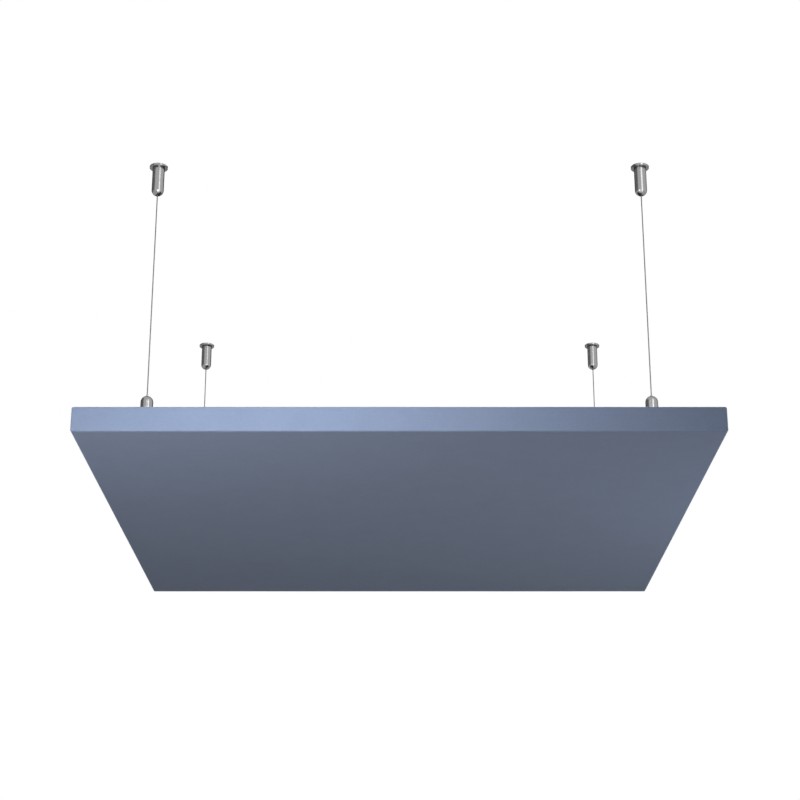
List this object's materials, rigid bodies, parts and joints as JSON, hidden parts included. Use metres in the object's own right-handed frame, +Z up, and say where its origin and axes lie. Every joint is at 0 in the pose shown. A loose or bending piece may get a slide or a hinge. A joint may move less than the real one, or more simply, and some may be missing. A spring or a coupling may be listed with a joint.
{
  "type": "suspended acoustic panel",
  "caption": "Square fabric-covered acoustic ceiling panel hung level on steel wires from bullet-shaped ceiling fixtures, with swivel joints and height grips.",
  "frame": {"origin": "centre of the four ceiling screw holes, on the ceiling plane", "axes": "+Z up into the ceiling, -Y the front side seen in the picture, +X to its right"},
  "size_m": [1, 1, 0.5],
  "materials": {
    "cover_fabric": "matte",
    "back_fleece": "matte",
    "absorber": "matte",
    "frame_aluminium": "satin",
    "zinc_steel": "satin",
    "spline": "matte",
    "satin_nickel": "satin",
    "nickel_fittings": "satin",
    "ball_steel": "polished",
    "spring_steel": "satin",
    "wire_steel": "satin",
    "nylon": "satin"
  },
  "bodies": {
    "ceiling": {"ceiling_bases": "satin_nickel", "ceiling_cap_front_left": "satin_nickel", "ceiling_cap_front_right": "satin_nickel", "ceiling_cap_rear_right": "satin_nickel", "ceiling_cap_rear_left": "satin_nickel"},
    "upper_swivel_front_left": {"upper_liner_front_left": "nylon"},
    "wire_front_left": {"wire_front_left": "wire_steel", "wire_end_front_left": "nickel_fittings"},
    "grip_front_left": {"grip_barrel_front_left": "nickel_fittings", "grip_spring_front_left": "spring_steel"},
    "plunger_front_left": {"grip_plunger_front_left": "nickel_fittings", "grip_balls_front_left": "ball_steel"},
    "upper_swivel_front_right": {"upper_liner_front_right": "nylon"},
    "wire_front_right": {"wire_front_right": "wire_steel", "wire_end_front_right": "nickel_fittings"},
    "grip_front_right": {"grip_barrel_front_right": "nickel_fittings", "grip_spring_front_right": "spring_steel"},
    "plunger_front_right": {"grip_plunger_front_right": "nickel_fittings", "grip_balls_front_right": "ball_steel"},
    "upper_swivel_rear_right": {"upper_liner_rear_right": "nylon"},
    "wire_rear_right": {"wire_rear_right": "wire_steel", "wire_end_rear_right": "nickel_fittings"},
    "grip_rear_right": {"grip_barrel_rear_right": "nickel_fittings", "grip_spring_rear_right": "spring_steel"},
    "plunger_rear_right": {"grip_plunger_rear_right": "nickel_fittings", "grip_balls_rear_right": "ball_steel"},
    "upper_swivel_rear_left": {"upper_liner_rear_left": "nylon"},
    "wire_rear_left": {"wire_rear_left": "wire_steel", "wire_end_rear_left": "nickel_fittings"},
    "grip_rear_left": {"grip_barrel_rear_left": "nickel_fittings", "grip_spring_rear_left": "spring_steel"},
    "plunger_rear_left": {"grip_plunger_rear_left": "nickel_fittings", "grip_balls_rear_left": "ball_steel"},
    "lower_swivel_front_left": {"lower_liner_front_left": "nylon"},
    "panel": {"front_frame_rail": "frame_aluminium", "rear_frame_rail": "frame_aluminium", "left_frame_rail": "frame_aluminium", "right_frame_rail": "frame_aluminium", "corner_keys": "frame_aluminium", "corner_set_screws": "zinc_steel", "front_cross_rail": "frame_aluminium", "rear_cross_rail": "frame_aluminium", "rail_brackets": "zinc_steel", "rail_bracket_screws": "zinc_steel", "threaded_inserts": "zinc_steel", "absorber_core": "absorber", "back_fleece": "back_fleece", "fabric_cover": "cover_fabric", "fabric_splines": "spline", "panel_bases": "satin_nickel", "panel_cap_front_left": "satin_nickel", "panel_cap_front_right": "satin_nickel", "panel_cap_rear_right": "satin_nickel", "panel_cap_rear_left": "satin_nickel", "lower_liner_front_right": "nylon", "lower_liner_rear_right": "nylon", "lower_liner_rear_left": "nylon"}
  },
  "joints": [
    {"name": "swing_fore_aft_front_left", "type": "hinge", "parent": "ceiling", "child": "upper_swivel_front_left", "pos_m": [-0.4, -0.4, -0.044], "axis": [1, 0, 0], "range_deg": [-7, 7]},
    {"name": "swing_sideways_front_left", "type": "hinge", "parent": "upper_swivel_front_left", "child": "wire_front_left", "pos_m": [-0.4, -0.4, -0.044], "axis": [0, 1, 0], "range_deg": [-7, 7]},
    {"name": "height_front_left", "type": "slide", "parent": "wire_front_left", "child": "grip_front_left", "axis": [0, 0, 1], "range_m": [-0.009, 0.009]},
    {"name": "release_front_left", "type": "slide", "parent": "grip_front_left", "child": "plunger_front_left", "axis": [0, 0, -1], "range_m": [0, 0.002], "stiffness_N_per_m": 1500, "springref_m": -0.002, "deforming": ["grip_spring_front_left"]},
    {"name": "swing_fore_aft_front_right", "type": "hinge", "parent": "ceiling", "child": "upper_swivel_front_right", "pos_m": [0.4, -0.4, -0.044], "axis": [1, 0, 0], "range_deg": [-7, 7]},
    {"name": "swing_sideways_front_right", "type": "hinge", "parent": "upper_swivel_front_right", "child": "wire_front_right", "pos_m": [0.4, -0.4, -0.044], "axis": [0, 1, 0], "range_deg": [-7, 7]},
    {"name": "height_front_right", "type": "slide", "parent": "wire_front_right", "child": "grip_front_right", "axis": [0, 0, 1], "range_m": [-0.009, 0.009]},
    {"name": "release_front_right", "type": "slide", "parent": "grip_front_right", "child": "plunger_front_right", "axis": [0, 0, -1], "range_m": [0, 0.002], "stiffness_N_per_m": 1500, "springref_m": -0.002, "deforming": ["grip_spring_front_right"]},
    {"name": "swing_fore_aft_rear_right", "type": "hinge", "parent": "ceiling", "child": "upper_swivel_rear_right", "pos_m": [0.4, 0.4, -0.044], "axis": [1, 0, 0], "range_deg": [-7, 7]},
    {"name": "swing_sideways_rear_right", "type": "hinge", "parent": "upper_swivel_rear_right", "child": "wire_rear_right", "pos_m": [0.4, 0.4, -0.044], "axis": [0, 1, 0], "range_deg": [-7, 7]},
    {"name": "height_rear_right", "type": "slide", "parent": "wire_rear_right", "child": "grip_rear_right", "axis": [0, 0, 1], "range_m": [-0.009, 0.009]},
    {"name": "release_rear_right", "type": "slide", "parent": "grip_rear_right", "child": "plunger_rear_right", "axis": [0, 0, -1], "range_m": [0, 0.002], "stiffness_N_per_m": 1500, "springref_m": -0.002, "deforming": ["grip_spring_rear_right"]},
    {"name": "swing_fore_aft_rear_left", "type": "hinge", "parent": "ceiling", "child": "upper_swivel_rear_left", "pos_m": [-0.4, 0.4, -0.044], "axis": [1, 0, 0], "range_deg": [-7, 7]},
    {"name": "swing_sideways_rear_left", "type": "hinge", "parent": "upper_swivel_rear_left", "child": "wire_rear_left", "pos_m": [-0.4, 0.4, -0.044], "axis": [0, 1, 0], "range_deg": [-7, 7]},
    {"name": "height_rear_left", "type": "slide", "parent": "wire_rear_left", "child": "grip_rear_left", "axis": [0, 0, 1], "range_m": [-0.009, 0.009]},
    {"name": "release_rear_left", "type": "slide", "parent": "grip_rear_left", "child": "plunger_rear_left", "axis": [0, 0, -1], "range_m": [0, 0.002], "stiffness_N_per_m": 1500, "springref_m": -0.002, "deforming": ["grip_spring_rear_left"]},
    {"name": "level_sideways", "type": "hinge", "parent": "grip_front_left", "child": "lower_swivel_front_left", "pos_m": [-0.4, -0.4, -0.417], "axis": [0, 1, 0], "range_deg": [-7, 7]},
    {"name": "level_fore_aft", "type": "hinge", "parent": "lower_swivel_front_left", "child": "panel", "pos_m": [-0.4, -0.4, -0.417], "axis": [1, 0, 0], "range_deg": [-7, 7]}
  ],
  "couplings": [
    {"joint": "swing_fore_aft_front_right", "follows": "swing_fore_aft_front_left", "ratio": 1},
    {"joint": "swing_sideways_front_right", "follows": "swing_sideways_front_left", "ratio": 1},
    {"joint": "height_front_right", "follows": "height_front_left", "ratio": 1},
    {"joint": "swing_fore_aft_rear_right", "follows": "swing_fore_aft_front_left", "ratio": 1},
    {"joint": "swing_sideways_rear_right", "follows": "swing_sideways_front_left", "ratio": 1},
    {"joint": "height_rear_right", "follows": "height_front_left", "ratio": 1},
    {"joint": "swing_fore_aft_rear_left", "follows": "swing_fore_aft_front_left", "ratio": 1},
    {"joint": "swing_sideways_rear_left", "follows": "swing_sideways_front_left", "ratio": 1},
    {"joint": "height_rear_left", "follows": "height_front_left", "ratio": 1},
    {"joint": "level_sideways", "follows": "swing_sideways_front_left", "ratio": -1},
    {"joint": "level_fore_aft", "follows": "swing_fore_aft_front_left", "ratio": -1}
  ]
}
